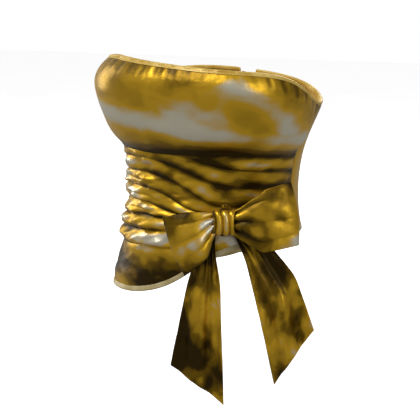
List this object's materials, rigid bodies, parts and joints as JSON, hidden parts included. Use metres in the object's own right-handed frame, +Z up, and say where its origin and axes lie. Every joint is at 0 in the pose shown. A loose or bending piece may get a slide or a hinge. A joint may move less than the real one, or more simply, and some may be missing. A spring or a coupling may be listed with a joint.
{
  "type": "strapless satin bow top",
  "caption": "Boned strapless satin top with a smooth bust panel, ruched waist, slanted hem, back zip and a large two-loop bow with hanging tails.",
  "frame": {"origin": "middle of the wearer's waist, inside the top", "axes": "+Z up the wearer's body, -Y the way the wearer faces, +X the wearer's left"},
  "size_m": [0.3333, 0.2499, 0.4466],
  "materials": {
    "binding": "satin binding",
    "bow_patch": "stiff backing cloth",
    "cotton_channel": "cotton twill tape",
    "cup_foam": "fabric-backed foam",
    "elastic": "woven elastic",
    "grosgrain": "ribbed ribbon",
    "hook_wire": "polished wire",
    "lining": "matt lining",
    "satin": "glossy satin weave",
    "satin_bow": "glossy satin weave",
    "satin_ruched": "glossy satin weave in gathered folds",
    "spring_steel": "flat spring steel",
    "zip_metal": "polished brass",
    "zip_tape": "woven tape"
  },
  "bodies": {
    "bodice": {"back_eye": "hook_wire", "back_hook": "hook_wire", "back_panel_left": "satin", "back_panel_right": "satin", "bone_back_left": "spring_steel", "bone_back_right": "spring_steel", "bone_casing_back_left": "cotton_channel", "bone_casing_back_right": "cotton_channel", "bone_casing_front_left": "cotton_channel", "bone_casing_front_right": "cotton_channel", "bone_casing_side_left": "cotton_channel", "bone_casing_side_right": "cotton_channel", "bone_front_left": "spring_steel", "bone_front_right": "spring_steel", "bone_side_left": "spring_steel", "bone_side_right": "spring_steel", "bow_core": "satin_bow", "bow_knot": "satin_bow", "bow_patch": "bow_patch", "bow_tail_stub": "satin_bow", "bust_panel": "satin", "cup_left": "cup_foam", "cup_right": "cup_foam", "front_drape": "satin_ruched", "hem_binding_back_left": "binding", "hem_binding_back_right": "binding", "hem_binding_front": "binding", "lining_back_left": "lining", "lining_back_right": "lining", "lining_front": "lining", "neckline_binding_back_left": "binding", "neckline_binding_back_right": "binding", "neckline_binding_front": "binding", "neckline_elastic_back_left": "elastic", "neckline_elastic_back_right": "elastic", "neckline_elastic_front": "elastic", "waist_stay": "grosgrain", "zip_bottom_stop": "zip_metal", "zip_chain_left": "zip_metal", "zip_chain_right": "zip_metal", "zip_tape_left": "zip_tape", "zip_tape_right": "zip_tape", "zip_top_stop_left": "zip_metal", "zip_top_stop_right": "zip_metal"},
    "zip_slider": {"zip_slider": "zip_metal"},
    "zip_pull": {"zip_pull": "zip_metal"},
    "bow_loop_left": {"bow_loop_left": "satin_bow"},
    "bow_loop_right": {"bow_loop_right": "satin_bow"},
    "bow_tail_left": {"bow_tail_left": "satin_bow"},
    "bow_tail_right": {"bow_tail_right": "satin_bow"}
  },
  "joints": [
    {"name": "zip_slide", "type": "slide", "parent": "bodice", "child": "zip_slider", "axis": [0, 0, 1], "range_m": [-0.1794, 0]},
    {"name": "zip_pull_hinge", "type": "hinge", "parent": "zip_slider", "child": "zip_pull", "pos_m": [0, 0.1032, 0.1442], "axis": [1, 0, 0], "range_deg": [0, 150]},
    {"name": "bow_loop_left_flex", "type": "hinge", "parent": "bodice", "child": "bow_loop_left", "pos_m": [0.09036, -0.09431, -0.00988], "axis": [0.0615, -0.1248, -0.9903], "range_deg": [0, 25], "stiffness_Nm_per_rad": 0.03},
    {"name": "bow_loop_right_flex", "type": "hinge", "parent": "bodice", "child": "bow_loop_right", "pos_m": [0.05574, -0.11138, -0.00988], "axis": [-0.0615, 0.1248, 0.9903], "range_deg": [0, 25], "stiffness_Nm_per_rad": 0.03},
    {"name": "bow_tail_left_swing", "type": "hinge", "parent": "bodice", "child": "bow_tail_left", "pos_m": [0.07061, -0.0979, -0.05974], "axis": [-0.8969, -0.4422, 0], "range_deg": [-10, 80]},
    {"name": "bow_tail_right_swing", "type": "hinge", "parent": "bodice", "child": "bow_tail_right", "pos_m": [0.07258, -0.10189, -0.09143], "axis": [-0.8969, -0.4422, 0], "range_deg": [-10, 80]}
  ]
}
